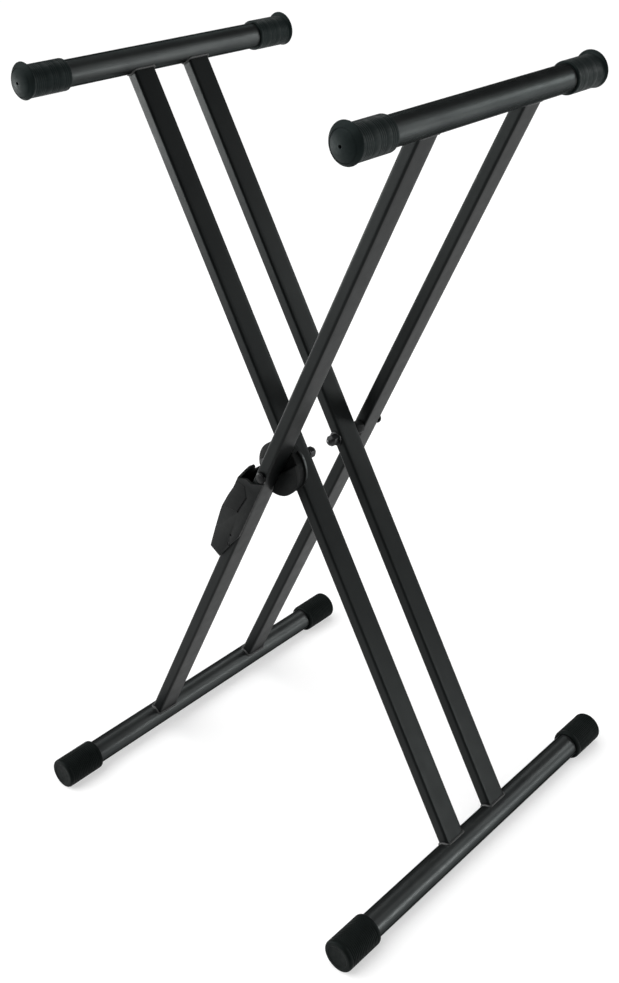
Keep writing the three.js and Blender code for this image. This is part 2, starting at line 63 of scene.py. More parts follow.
FOOT_CAP_R = 19 * MM
LIP_R = 20.1 * MM
LIP_OFFSET = 1.8 * MM
LIP_LEAN = math.radians(8)
PIVOT_Z = FOOT_CAP_R + BELOW * math.cos(TILT) - BOLT_OFFSET * math.sin(TILT)
COS, SIN = math.cos(TILT), math.sin(TILT)


def outer(t, y, s):
    """Place in the stand of a point of the outer frame: across the arm, along Y, along the arm."""
    return Vector((t * COS + s * SIN, y + FRAME_SHIFT, PIVOT_Z - t * SIN + s * COS))


def inner(t, y, s):
    """The same for the inner frame, which leans the other way."""
    return Vector((t * COS - s * SIN, y + FRAME_SHIFT, PIVOT_Z + t * SIN + s * COS))


# ------------------------------------------------------------------ materials

TONE_ENDS = (0.35, 0.65)  # noise values at which a drifting colour reaches its two tones
SATIN_ENDS = (0.3, 0.7)  # the same for a drifting roughness
NEUTRAL = (1, 1, 1)
COOL = (0.9, 1, 0.98)
COOLER = (0.78, 1, 0.98)
# dims a coat's reflections at grazing angles: painted shade on the undersides of the tubes
SHADED_EDGE_TINT = (0.24, 0.25, 0.25)


def object_noise(tree, scale, detail, stretch=(1, 1, 1)):
    """Noise fixed to the piece, in object space."""
    place = tree.nodes.new("ShaderNodeTexCoord")
    mapping = tree.nodes.new("ShaderNodeMapping")
    mapping.inputs["Scale"].default_value = stretch
    texture = tree.nodes.new("ShaderNodeTexNoise")
    texture.inputs["Scale"].default_value = scale
    texture.inputs["Detail"].default_value = detail
    tree.links.new(place.outputs["Object"], mapping.inputs["Vector"])
    tree.links.new(mapping.outputs["Vector"], texture.inputs["Vector"])
    return texture.outputs["Fac"]


def drift_colour(tree, shader, factor, tones):
    node = tree.nodes.new("ShaderNodeValToRGB")
    for element, position, tone in zip(node.color_ramp.elements, TONE_ENDS, tones):
        element.position = position
        element.color = (*tone, 1)
    tree.links.new(factor, node.inputs["Fac"])
    tree.links.new(node.outputs["Color"], shader.inputs["Base Color"])


def drift_roughness(tree, shader, factor, low, high):
    node = tree.nodes.new("ShaderNodeMapRange")
    node.inputs["From Min"].default_value, node.inputs["From Max"].default_value = SATIN_ENDS
    node.inputs["To Min"].default_value = low
    node.inputs["To Max"].default_value = high
    tree.links.new(factor, node.inputs["Value"])
    tree.links.new(node.outputs["Result"], shader.inputs["Roughness"])


def raise_bumps(tree, shader, bumps):
    """Adds each (noise, strength, height in metres) on top of the last."""
    normal = None
    for noise_size, strength, height in bumps:
        node = tree.nodes.new("ShaderNodeBump")
        node.inputs["Strength"].default_value = strength
        node.inputs["Distance"].default_value = height
        tree.links.new(object_noise(tree, *noise_size), node.inputs["Height"])
        if normal is not None:
            tree.links.new(normal, node.inputs["Normal"])
        normal = node.outputs["Normal"]
    tree.links.new(normal, shader.inputs["Normal"])


def finish(
    name, tones, *, tone_noise, roughness, bumps,
    satin_noise=None, metallic=0.0, gloss=0.5, tint=NEUTRAL,
):
    """Surface whose colour drifts between two tones, with fine bumps.

    A noise is (scale, detail), with an optional stretch. The roughness is one number, or the
    two ends between which satin_noise moves it. gloss and tint are those of the specular layer.
    """
    material = bpy.data.materials.new(name)
    material.use_nodes = True
    tree = material.node_tree
    shader = tree.nodes["Principled BSDF"]
    shader.inputs["Metallic"].default_value = metallic
    shader.inputs["Specular IOR Level"].default_value = gloss
    shader.inputs["Specular Tint"].default_value = (*tint, 1)
    drift_colour(tree, shader, object_noise(tree, *tone_noise), tones)
    if satin_noise:
        drift_roughness(tree, shader, object_noise(tree, *satin_noise), *roughness)
    else:
        shader.inputs["Roughness"].default_value = roughness
    raise_bumps(tree, shader, bumps)
    return material


def powder_coat(name, tones, roughness, **specular):
    """Satin black powder coat: a fine orange peel and grain over a slow mottle."""
    orange_peel = ((620, 2), 0.1, 0.0002)
    grain = ((2600, 2), 0.06, 0.0001)
    return finish(
        name, tones, tone_noise=(18, 3), roughness=roughness, satin_noise=(70, 3),
        bumps=(orange_peel, grain), **specular,
    )


def moulded_rubber(name, tones, gloss):
    """Matt rubber with a fine grain and a slower unevenness."""
    grain = ((1500, 3), 0.22, 0.0002)
    unevenness = ((320, 2), 0.08, 0.0004)
    return finish(
        name, tones, tone_noise=(45, 5), roughness=(0.48, 0.62), satin_noise=(240, 3),
        bumps=(grain, unevenness), gloss=gloss, tint=COOLER,
    )


def moulded_plastic(name, tones):
    """Satin plastic from a finely grained mould."""
    return finish(
        name, tones, tone_noise=(30, 4), roughness=(0.44, 0.56), satin_noise=(160, 3),
        bumps=(((1900, 2), 0.2, 0.00015),), gloss=0.07,
    )


def black_oxide(name, tones, metallic):
    """Blackened steel of bolts, nuts, pins and screws."""
    return finish(
        name, tones, tone_noise=(160, 4), roughness=(0.26, 0.4), satin_noise=(420, 3),
        bumps=(((1200, 3), 0.1, 0.0001),), metallic=metallic,
    )


def stamped_steel(name, tones):
    """Bare steel, brushed along one way."""
    brushed = (500, 3, (1, 1, 14))
    return finish(
        name, tones, tone_noise=(60, 5), roughness=(0.28, 0.46), satin_noise=brushed,
        bumps=((brushed, 0.1, 0.0001),), metallic=1.0,
    )


def weld_coat(name, tones):
    """Powder coat over a weld bead, a little rougher."""
    return finish(
        name, tones, tone_noise=(90, 3), roughness=0.5, bumps=(((900, 4), 0.3, 0.0004),)
    )


# The tubes and the lock gear get a brighter, near-metallic copy of the one powder coat. This is a
# painted highlight that strengthens their shine, and its edge tint dims grazing reflections as
# painted shade.
LIT_COAT = powder_coat(
    "tube_coat_lit_copy", ((0.047, 0.0505, 0.0505), (0.056, 0.06, 0.0595)), (0.37, 0.43),
    metallic=0.96, tint=SHADED_EDGE_TINT,
)
# The arms get a darker, duller copy of the same powder coat: painted shade that keeps their faces
# dark.
SHADED_ARM_COAT = powder_coat(
    "arm_coat_shaded_copy", ((0.0038, 0.0043, 0.0045), (0.006, 0.0067, 0.0067)), (0.35, 0.41),
    gloss=0.1, tint=COOL,
)
WELD = weld_coat("weld_coat", ((0.008, 0.009, 0.009), (0.013, 0.0145, 0.014)))
RUBBER = moulded_rubber(
    "cap_rubber", ((0.005, 0.0075, 0.0075), (0.0075, 0.0105, 0.0103)), gloss=0.1
)
FOOT_RUBBER = moulded_rubber(
    "foot_rubber", ((0.0025, 0.0032, 0.003), (0.0045, 0.0055, 0.0052)), gloss=0.06
)
PLASTIC = moulded_plastic(
    "moulded_plastic", ((0.006, 0.0068, 0.0068), (0.0095, 0.0105, 0.0103))
)
PANEL = moulded_plastic(
    "moulded_panel", ((0.0042, 0.0048, 0.0048), (0.0055, 0.0062, 0.0062))
)
FASTENER = black_oxide(
    "black_oxide", ((0.008, 0.0085, 0.009), (0.02, 0.021, 0.022)), metallic=0.5
)
# Blackened steel made darker still: painted shade, so that the pivot bolt heads and the lever pin
# read as the dark shadow round the pivot.
SHADED_FASTENER = black_oxide(
    "shaded_oxide", ((0.0025, 0.0027, 0.0028), (0.0045, 0.0048, 0.005)), metallic=0.9
)
STEEL = stamped_steel("stamped_steel", ((0.13, 0.133, 0.136), (0.23, 0.234, 0.238)))

# ------------------------------------------------------------------ mesh tools

MERGE_DISTANCE = 0.005 * MM
FLAT_ANGLE = math.radians(1.5)  # faces closer to level than this become one
BEVEL_ANGLE = math.radians(30)  # edges sharper than this are rounded
NOTHING_SHARP = math.radians(180)


def new_piece(name, vertices, faces, material, body, nodes=(), sharp_deg=35):
    """A mesh piece in the stand's frame that rides on a body and may stand for CAD nodes."""
    mesh = bpy.data.meshes.new(name)
    mesh.from_pydata([tuple(v) for v in vertices], [], faces)
    work = bmesh.new()
    work.from_mesh(mesh)
    bmesh.ops.recalc_face_normals(work, faces=work.faces)
    work.to_mesh(mesh)
    work.free()
    mesh.materials.append(material)
    piece = bpy.data.objects.new(name, mesh)
    bpy.context.scene.collection.objects.link(piece)
    mesh.polygons.foreach_set("use_smooth", [True] * len(mesh.polygons))
    mesh.set_sharp_from_angle(angle=math.radians(sharp_deg))
    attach(piece, body)
    if nodes:
        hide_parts(*nodes)
    return piece


def loft(rings, looped=False):
    """Faces between rings of equal length. Unlooped ends are closed with one face each."""
    count = len(rings[0])
    vertices = [v for ring in rings for v in ring]
    faces = []
    pairs = len(rings) if looped else len(rings) - 1
    for i in range(pairs):
        a, b = i * count, ((i + 1) % len(rings)) * count
        for j in range(count):
            k = (j + 1) % count
            faces.append((a + j, a + k, b + k, b + j))
    if not looped:
        faces.append(tuple(range(count - 1, -1, -1)))
        faces.append(tuple(range((len(rings) - 1) * count, len(rings) * count)))
    return vertices, faces


def rounded_rectangle(half_t, half_y, corner, corner_steps=7, side_steps=6):
    """Closed outline of (t, y) points, with extra points along the sides."""
    points = []
    for sign_t, sign_y, start in ((1, -1, -90), (1, 1, 0), (-1, 1, 90), (-1, -1, 180)):
        for i in range(corner_steps + 1):
            angle = math.radians(start + 90 * i / corner_steps)
            points.append((
                sign_t * (half_t - corner) + corner * math.cos(angle),
                sign_y * (half_y - corner) + corner * math.sin(angle),
            ))
    out = []
    for i, (t, y) in enumerate(points):
        t2, y2 = points[(i + 1) % len(points)]
        out.append((t, y))
        if math.hypot(t2 - t, y2 - y) > 2 * corner:
            for k in range(1, side_steps):
                f = k / side_steps
                out.append((t + (t2 - t) * f, y + (y2 - y) * f))
    return out


def copy_of_cad(node, edge, material, body):
    """The CAD node's shape with clean faces and edges rounded by (width, segments)."""
    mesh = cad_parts[node].data.copy()
    mesh.name = node + "_fine"
    mesh.materials.clear()
    mesh.materials.append(material)
    work = bmesh.new()
    work.from_mesh(mesh)
    bmesh.ops.remove_doubles(work, verts=work.verts, dist=MERGE_DISTANCE)
    bmesh.ops.dissolve_limit(
        work, angle_limit=FLAT_ANGLE, verts=work.verts, edges=work.edges,
        use_dissolve_boundaries=False,
    )
    for face in work.faces:
        face.smooth = True
        face.material_index = 0
    work.to_mesh(mesh)
    work.free()
    mesh.set_sharp_from_angle(angle=NOTHING_SHARP)
    piece = bpy.data.objects.new(node + "_fine", mesh)
    bpy.context.scene.collection.objects.link(piece)
    bevel = piece.modifiers.new("edges", "BEVEL")
    bevel.width, bevel.segments = edge
    bevel.limit_method = "ANGLE"
    bevel.angle_limit = BEVEL_ANGLE
    bevel.harden_normals = True
    bevel.use_clamp_overlap = True
    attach(piece, body)
    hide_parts(node)
    return piece


# ------------------------------------------------------------------ arms, tubes and welds

ARM_SINK = 0.6 * MM  # the arms' coped ends lie this far inside the tubes' surface
ARM_STEPS = 12
ARM_END_LENGTH = 30 * MM  # from a tube's axis to the first ring of an arm
TUBE_SIDES = 96
TUBE_STEPS = 24
BEAD_R = 1.5 * MM
BEAD_SIDES = 10
BEAD_WIDTH, BEAD_HEIGHT = 1.15, 0.8  # of the bead's radius
BEAD_OFF_ARM, BEAD_OFF_TUBE = 0.4 * MM, 0.2 * MM
BEAD_CORNER_STEPS, BEAD_SIDE_STEPS = 5, 22
RIPPLE = 0.22  # share of the bead's radius by which it swells and shrinks
RIPPLE_PITCH = 1.7 * MM
RIPPLE_WAVE, RIPPLE_LUMP = 0.45, 0.8  # shares of the even wave and of the noise
LUMP_SCALE = 160
LARGEST_PHASE = 10
SEED_LIMIT = 997


def swept_bead(path, seed):
    """A closed bead round a loop of (point, outward) pairs, uneven as a hand-laid weld is."""
    phase = random.Random(seed).uniform(0, LARGEST_PHASE)
    count = len(path)
    rings = []
    run = 0.0
    for i, (point, outward) in enumerate(path):
        ahead = path[(i + 1) % count][0]
        behind = path[i - 1][0]
        tangent = (ahead - behind).normalized()
        side = tangent.cross(outward).normalized()
        up = side.cross(tangent).normalized()
        wave = math.sin(run / RIPPLE_PITCH * 2 * math.pi + phase)
        lump = noise.noise(point * LUMP_SCALE + Vector((seed, 0, 0)))
        size = BEAD_R * (1 + RIPPLE * (RIPPLE_WAVE * wave + RIPPLE_LUMP * lump))
        ring = []
        for k in range(BEAD_SIDES):
            angle = 2 * math.pi * k / BEAD_SIDES
            across = side * size * BEAD_WIDTH * math.cos(angle)
            ring.append(point + across + up * size * BEAD_HEIGHT * math.sin(angle))
        rings.append(ring)
        run += (ahead - point).length
    return loft(rings, looped=True)


def name_seed(text):
    return sum((i + 1) * ord(c) for i, c in enumerate(text)) % SEED_LIMIT


def arm_cope(t):
    """How far short of the tube's axis an arm's end lies, at t off its middle."""
    return math.sqrt((TUBE_R - ARM_SINK) ** 2 - t ** 2)


def build_weld(name, place, middle, y, along, sign, body):
    """The bead where an arm's end meets its tube; sign is 1 at the top and -1 at the foot."""
    outline = rounded_rectangle(
        ARM_DEPTH / 2 + BEAD_OFF_ARM, ARM_WIDTH / 2 + BEAD_OFF_ARM, ARM_CORNER,
        BEAD_CORNER_STEPS, BEAD_SIDE_STEPS,
    )
    tube_axis = place(middle, y, along)
    path = []
    for t, w in outline:
        s = along - sign * math.sqrt((TUBE_R + BEAD_OFF_TUBE) ** 2 - t ** 2)
        point = place(middle + t, y + w, s)
        off_arm = place(middle + t * 2, y + w * 2, s) - place(middle, y, s)
        off_tube = point - Vector((tube_axis.x, point.y, tube_axis.z))
        path.append((point, (off_arm.normalized() + off_tube.normalized()).normalized()))
    label = "top" if sign > 0 else "foot"
    vertices, faces = swept_bead(path, name_seed(name + label))
    new_piece(f"weld_{name}_{label}", vertices, faces, WELD, body, sharp_deg=60)


def build_arm(name, place, side, y, body):
    outline = rounded_rectangle(ARM_DEPTH / 2, ARM_WIDTH / 2, ARM_CORNER)
    middle = side * BOLT_OFFSET
    straight = ABOVE + BELOW - 2 * ARM_END_LENGTH
    rings = [[place(middle + t, y + w, -BELOW + arm_cope(t)) for t, w in outline]]
    for i in range(ARM_STEPS - 1):
        s = -BELOW + ARM_END_LENGTH + straight * i / (ARM_STEPS - 2)
        rings.append([place(middle + t, y + w, s) for t, w in outline])
    rings.append([place(middle + t, y + w, ABOVE - arm_cope(t)) for t, w in outline])
    vertices, faces = loft(rings)
    new_piece(name + "_fine", vertices, faces, SHADED_ARM_COAT, body, [name])
    build_weld(name, place, middle, y, ABOVE, 1, body)
    build_weld(name, place, middle, y, -BELOW, -1, body)


def build_tube(name, place, side, along, shift, half, body):
    axis = place(side * BOLT_OFFSET, shift, along)
    bore = TUBE_R - TUBE_WALL
    outside = [(-half + 2 * half * i / TUBE_STEPS, TUBE_R) for i in range(1, TUBE_STEPS)]
    rings = []
    for y, r in ((-half, bore), (-half, TUBE_R), *outside, (half, TUBE_R), (half, bore)):
        ring = []
        for j in range(TUBE_SIDES):
            angle = 2 * math.pi * j / TUBE_SIDES
            ring.append(axis + Vector((r * math.sin(angle), y, r * math.cos(angle))))
        rings.append(ring)
    vertices, faces = loft(rings, looped=True)
    new_piece(name + "_fine", vertices, faces, LIT_COAT, body, [name])


build_arm("outer_arm_front", outer, -1, -OUTER_Y, "outer_frame")
build_arm("outer_arm_rear", outer, -1, OUTER_Y, "outer_frame")
build_arm("inner_arm_front", inner, 1, -INNER_Y, "inner_frame")
build_arm("inner_arm_rear", inner, 1, INNER_Y, "inner_frame")
build_tube("top_tube_right", outer, -1, ABOVE, OUTER_TUBE_SHIFT, TOP_HALF, "outer_frame")
build_tube("foot_tube_left", outer, -1, -BELOW, OUTER_TUBE_SHIFT, FOOT_HALF, "outer_frame")
build_tube("top_tube_left", inner, 1, ABOVE, INNER_TUBE_SHIFT, TOP_HALF, "inner_frame")
build_tube("foot_tube_right", inner, 1, -BELOW, INNER_TUBE_SHIFT, FOOT_HALF, "inner_frame")

# ------------------------------------------------------------------ rubber caps, in millimetres

CAP_SIDES = 96
EDGE_STEPS, DOME_STEPS, FOOT_STEPS = 3, 4, 4  # curve steps between two rows of a profile
CAP_BORE = 15.04
CAP_FLOOR = 0.8  # the cap's inner floor, past the tube's end
VENT_R = 1.6  # small hole in a top cap's end
NO_HOLE = 0.02

RIB_PITCH = 2.5
GROOVE_HALF_WIDTH = 0.85
GROOVE_SHAPE = ((-1, 0), (-0.7, 0.6), (-0.35, 1), (0.35, 1), (0.7, 0.6), (1, 0))
TOP_GROOVE_DEPTH, FOOT_GROOVE_DEPTH = 0.13, 0.35

# Top cap. Each table gives rows along Y from the mouth or from the rim.
TOP_CAP_COVER = 51  # length over the tube
RIM_PAST_TUBE = 1.5
TOP_SLEEVE = (2.2, -5.6)  # start from the mouth, end from the rim
TOP_RIBS_FROM_MOUTH = ((4.5, 3), (18, 4))  # first groove and number of grooves
TOP_RIBS_FROM_RIM = ((-17.5, 5),)
TOP_MOUTH_EDGE = ((0, -1.9), (0, -1.0), (0.5, -0.25), (1.6, 0))  # (Y, off the sleeve's radius)
# (Y, growth from the sleeve's radius to the lip's, share of the lip's offset)
FLARE = (
    (-5.2, 0, 0), (-4.2, 0.06, 0.05), (-3.2, 0.34, 0.3), (-2.5, 0.75, 0.75), (-2.0, 0.95, 0.95),
    (-1.7, 1, 1),
)
# (Y, share of the lip's radius, share of the lip's offset)
LIP_BAND = (
    (-1.3, 1, 0.93), (-0.6, 0.992, 0.68), (0, 0.975, 0.4), (1, 0.93, 0.15), (2.2, 0.86, 0.03),
    (2.9, 0.81, 0),
)
# (Y, radius)
END_GROOVE = ((3.05, 15.95), (2.5, 15.75), (2.6, 15.35))
DOME = ((3.3, 14.9), (4.1, 13.7), (5.4, 10.5), (6.5, 6), (6.95, 2.7), (6.95, 1.9), (6.6, VENT_R))

# Foot cap, with rows from the mouth or from the end face.
FOOT_CAP_COVER = 46
FACE_PAST_TUBE = 6
FOOT_SLEEVE = (3, -3.4)  # start from the mouth, end from the face
FOOT_RIBS = (6, 17)
FOOT_MOUTH_R = 15.9
FOOT_MOUTH_EDGE = ((0, -1.8), (0.7, -0.6), (2.6, 0))  # (Y, off the sleeve's radius)
FOOT_NOSE = ((-3, 0), (-1.9, -0.25), (-0.8, -0.9), (-0.15, -1.9), (0, -3))
FACE_STEP = ((0, 13.5), (-0.05, 13.2), (-0.45, 12.8), (-0.5, 12.4), (-0.5, NO_HOLE))  # (Y, radius)


def smooth_rows(points, steps):
    """Catmull-Rom curve through rows of numbers."""

    def between(a, b, c, d, u):
        bend = (2 * a - 5 * b + 4 * c - d) * u * u
        return 0.5 * ((2 * b) + (c - a) * u + bend + (3 * b - a - 3 * c + d) * u ** 3)

    rows = []
    for i in range(len(points) - 1):
        p0, p1 = points[max(i - 1, 0)], points[i]
        p2, p3 = points[i + 1], points[min(i + 2, len(points) - 1)]
        for k in range(steps):
            rows.append(tuple(between(*four, k / steps) for four in zip(p0, p1, p2, p3)))
    rows.append(tuple(points[-1]))
    return rows


def cap_rings(axis, rows, end, lip_side):
    """Rings of a cap from rows of (distance along Y, radius, offset towards the lip)."""
    lean_x, lean_z = lip_side * math.sin(LIP_LEAN), math.cos(LIP_LEAN)
    rings = []
    for y, r, offset in rows:
        ring = []
        for j in range(CAP_SIDES):
            angle = 2 * math.pi * (j + 0.5) / CAP_SIDES
            ring.append(Vector((
                axis.x + (r * math.sin(angle) + offset * lean_x) * MM,
                axis.y + end * y * MM,
                axis.z + (r * math.cos(angle) + offset * lean_z) * MM,
            )))
        rings.append(ring)
    return rings


def centred(rows, y0=0.0, r0=0.0):
    """Rows of a cap from (Y, radius) pairs counted from y0 and r0, about the tube's own axis."""
    return [(y0 + y, r0 + r, 0) for y, r in rows]


def rib_row(start, count):
    return [start + RIB_PITCH * i for i in range(count)]


def grooved(y0, y1, radius, grooves, depth):
    """Rows of a straight sleeve from y0 to y1 with fine round-bottomed grooves between ribs."""
    rows = [(y0, radius, 0.0)]
    for centre in grooves:
        for f, d in GROOVE_SHAPE:
            rows.append((centre + f * GROOVE_HALF_WIDTH, radius - d * depth, 0.0))
    rows.append((y1, radius, 0.0))
    return rows


def build_cap(name, axis, rows, end, lip_side, material, body):
    vertices, faces = loft(cap_rings(axis, rows, end, lip_side), looped=True)
    new_piece(name + "_fine", vertices, faces, material, body, [name], sharp_deg=50)


def build_top_cap(name, place, side, along, shift, end, lip_side, body):
    axis = place(side * BOLT_OFFSET, shift, along)
    tube_end = TOP_HALF / MM
    mouth, rim = tube_end - TOP_CAP_COVER, tube_end + RIM_PAST_TUBE
    r, lip, off = TOP_CAP_R / MM, LIP_R / MM, LIP_OFFSET / MM
    ribs = [y for start, count in TOP_RIBS_FROM_MOUTH for y in rib_row(mouth + start, count)]
    ribs += [y for start, count in TOP_RIBS_FROM_RIM for y in rib_row(rim + start, count)]
    flare = [(rim + y, r + grow * (lip - r), share * off) for y, grow, share in FLARE]
    band = [(rim + y, size * lip, share * off) for y, size, share in LIP_BAND]
    floor = tube_end + CAP_FLOOR
    rows = [
        *smooth_rows(centred(TOP_MOUTH_EDGE, mouth, r), EDGE_STEPS),
        *grooved(mouth + TOP_SLEEVE[0], rim + TOP_SLEEVE[1], r, ribs, TOP_GROOVE_DEPTH),
        *smooth_rows(flare, EDGE_STEPS),
        *smooth_rows(band, EDGE_STEPS),
        *centred(END_GROOVE, rim),
        *smooth_rows(centred(DOME, rim), DOME_STEPS),
        *centred(((floor, VENT_R), (floor, CAP_BORE), (mouth, CAP_BORE))),
    ]
    build_cap(name, axis, rows, end, lip_side, RUBBER, body)


def build_foot_cap(name, place, side, along, shift, end, body):
    axis = place(side * BOLT_OFFSET, shift, along)
    tube_end = FOOT_HALF / MM
    mouth, face = tube_end - FOOT_CAP_COVER, tube_end + FACE_PAST_TUBE
    r = FOOT_CAP_R / MM
    first_rib, rib_count = FOOT_RIBS
    ribs = rib_row(mouth + first_rib, rib_count)
    mouth_edge = [(mouth, FOOT_MOUTH_R, 0), *centred(FOOT_MOUTH_EDGE, mouth, r)]
    floor = tube_end + CAP_FLOOR
    rows = [
        *smooth_rows(mouth_edge, FOOT_STEPS),
        *grooved(mouth + FOOT_SLEEVE[0], face + FOOT_SLEEVE[1], r, ribs, FOOT_GROOVE_DEPTH),
        *smooth_rows(centred(FOOT_NOSE, face, r), FOOT_STEPS),
        *centred(FACE_STEP, face),
        *centred(((floor, NO_HOLE), (floor, CAP_BORE), (mouth, CAP_BORE))),
    ]
    build_cap(name, axis, rows, end, 1, FOOT_RUBBER, body)


for end, where in ((-1, "front"), (1, "rear")):
    build_top_cap(
        f"top_cap_right_{where}", outer, -1, ABOVE, OUTER_TUBE_SHIFT, end, 1, "outer_frame"
    )
    build_top_cap(
        f"top_cap_left_{where}", inner, 1, ABOVE, INNER_TUBE_SHIFT, end, -1, "inner_frame"
    )
    build_foot_cap(
        f"foot_cap_left_{where}", outer, -1, -BELOW, OUTER_TUBE_SHIFT, end, "outer_frame"
    )
    build_foot_cap(
        f"foot_cap_right_{where}", inner, 1, -BELOW, INNER_TUBE_SHIFT, end, "inner_frame"
    )

# ------------------------------------------------------------------ clutch, lever and fasteners

LEVER_FACE = -(OUTER_Y + ARM_WIDTH / 2 + 3.6 * MM)  # front face of the lever's front cheek
ARM_BACK = -(OUTER_Y - ARM_WIDTH / 2)  # back face of the outer front arm
BACK_CHEEK = (ARM_BACK + 0.5 * MM, ARM_BACK + 4 * MM)  # the back cheek lies between these
BACK_CHEEK_EDGE = 2 * MM

# Raised panel on the front cheek, in millimetres across and along the arm from the bolt.
PANEL_OUTLINE = (
    (-27.2, -50.5), (-26.2, -30.5), (-14.2, -27.2), (-6.2, -38.2), (-9.8, -68.5), (-27.4, -77.5),
)
PANEL_EDGE = ((0.4, 0), (-0.15, 0), (-0.38, 0.35), (-0.45, 0.9))  # (off the cheek, inset)

# Rounding of the CAD nodes' edges: its width, and the number of segments across it.
LEVER_EDGE = (0.7 * MM, 3)
HOUSING_EDGE = (1.0 * MM, 3)
SPACER_EDGE = (0.5 * MM, 2)
GEAR_EDGE = (0.35 * MM, 2)
SPRING_EDGE = (0.15 * MM, 2)
FASTENER_EDGE = (0.3 * MM, 2)


def trim_back_cheek(mesh, matrix):
    """Draws the back cheek's edge in, so that the arm hides it from the front."""
    back = matrix.inverted()
    for vertex in mesh.vertices:
        place = matrix @ vertex.co
        across = place.x * COS - (place.z - PIVOT_Z) * SIN
        if BACK_CHEEK[0] < place.y - FRAME_SHIFT < BACK_CHEEK[1] and across > BACK_CHEEK_EDGE:
            vertex.co = back @ (place - (across - BACK_CHEEK_EDGE) * Vector((COS, 0, -SIN)))


def build_lever_panel():
    """Shallow raised field on the upper part of the lever's front cheek, with a soft edge."""
    middle = Vector([sum(values) for values in zip(*PANEL_OUTLINE)]) / len(PANEL_OUTLINE)
    rings = []
    for depth, inset in PANEL_EDGE:
        ring = []
        for t, s in PANEL_OUTLINE:
            inward = (middle - Vector((t, s))).normalized() * inset
            ring.append(outer((t + inward.x) * MM, LEVER_FACE + depth * MM, (s + inward.y) * MM))
        rings.append(ring)
    vertices, faces = loft(rings)
    new_piece("lever_panel", vertices, faces, PANEL, "lever", sharp_deg=20)


lever = copy_of_cad("release_lever", LEVER_EDGE, PLASTIC, "lever")
trim_back_cheek(lever.data, lever.matrix_world)
build_lever_panel()
copy_of_cad("clutch_housing", HOUSING_EDGE, PLASTIC, "outer_frame")
copy_of_cad("rear_spacer", SPACER_EDGE, PLASTIC, "outer_frame")
copy_of_cad("lock_gear", GEAR_EDGE, LIT_COAT, "inner_frame")
copy_of_cad("lock_pawl", FASTENER_EDGE, STEEL, "pawl")
copy_of_cad("lever_spring", SPRING_EDGE, STEEL, "outer_frame")
for node in (
    "pivot_washer_front", "domed_nut_front", "pivot_washer_rear", "domed_nut_rear",
    "housing_screw_upper", "housing_screw_lower", "pawl_pin", "spring_rivet",
):
    copy_of_cad(node, FASTENER_EDGE, FASTENER, "outer_frame")
# Pivot bolts and lever pin in the darker oxide: painted shade of the pivot.
for node in ("pivot_bolt_front", "pivot_bolt_rear", "lever_pin"):
    copy_of_cad(node, FASTENER_EDGE, SHADED_FASTENER, "outer_frame")
for node in ("gear_screw_upper", "gear_screw_lower"):
    copy_of_cad(node, FASTENER_EDGE, FASTENER, "inner_frame")

# ------------------------------------------------------------------ studio

FLOOR_HALF = 30.0
FLOOR_TONE = 0.52
FLOOR_LIFT = 0.52  # emission that only camera, glossy and transmission rays see
WORLD_STRENGTH = 0.12
KEY_DIRECTION, KEY_STRENGTH, KEY_SPREAD_DEG = (0.42, 0.52, -1), 3.25, 74
STUDIO_CENTRE = Vector((0, 0, 0.5))
SOFTBOX_DISTANCE = 3.0
LEVEL_UP_TO = 10  # degrees of elevation up to which a softbox shines level
LAMP_FLOOR_GAP = 0.01

# name, azimuth from +X and elevation in degrees, width and height in metres, watts
SOFTBOXES = (
    ("right_strip", 33, 5, (0.9, 0.5), 2.0),
    ("right_floor", 33, -8, (0.9, 0.4), 5.5),
    ("far_right_floor", 26, -8, (0.9, 0.4), 15.0),
    ("back_strip", 60, 14, (0.7, 0.7), 25.0),
    ("back_high", 50, 35, (0.9, 0.9), 3.0),
    ("back_left", 125, 40, (1.0, 0.8), 9.0),
    ("far_left", 208, -6, (1.2, 0.5), 44.0),
    ("front_left", 228, -6, (1.4, 0.5), 12.0),
    ("front_strip", 245, -6, (1.2, 0.5), 5.0),
    ("overhead", 90, 80, (1.4, 1.4), 6.0),
)


def math_node(tree, operation, first, second):
    """A Math node of two inputs; the second may be a number."""
    node = tree.nodes.new("ShaderNodeMath")
    node.operation = operation
    tree.links.new(first, node.inputs[0])
    if isinstance(second, float):
        node.inputs[1].default_value = second
    else:
        tree.links.new(second, node.inputs[1])
    return node.outputs[0]


def studio_paper():
    """Pale diffuse paper that looks white and keeps the shadow on it."""
    material = bpy.data.materials.new("studio_paper")
    material.use_nodes = True
    tree = material.node_tree
    for node in list(tree.nodes):
        tree.nodes.remove(node)
    output = tree.nodes.new("ShaderNodeOutputMaterial")
    paper = tree.nodes.new("ShaderNodeBsdfDiffuse")
    paper.inputs["Color"].default_value = (FLOOR_TONE, FLOOR_TONE, FLOOR_TONE, 1)
    lift = tree.nodes.new("ShaderNodeEmission")
    lift.inputs["Color"].default_value = (1, 1, 1, 1)
    ray = tree.nodes.new("ShaderNodeLightPath").outputs
    seen = math_node(tree, "MAXIMUM", ray["Is Camera Ray"], ray["Is Glossy Ray"])
    seen = math_node(tree, "MAXIMUM", seen, ray["Is Transmission Ray"])
    level = math_node(tree, "MULTIPLY", seen, FLOOR_LIFT)
    tree.links.new(level, lift.inputs["Strength"])
    both = tree.nodes.new("ShaderNodeAddShader")
    tree.links.new(paper.outputs[0], both.inputs[0])
    tree.links.new(lift.outputs[0], both.inputs[1])
    tree.links.new(both.outputs[0], output.inputs["Surface"])
    return material


def build_floor():
    mesh = bpy.data.meshes.new("studio_floor")
    corners = [(x * FLOOR_HALF, y * FLOOR_HALF, 0) for x, y in ((-1, -1), (1, -1), (1, 1), (-1, 1))]
    mesh.from_pydata(corners, [], [(0, 1, 2, 3)])
    mesh.materials.append(studio_paper())
    floor = bpy.data.objects.new("studio_floor", mesh)
    bpy.context.scene.collection.objects.link(floor)


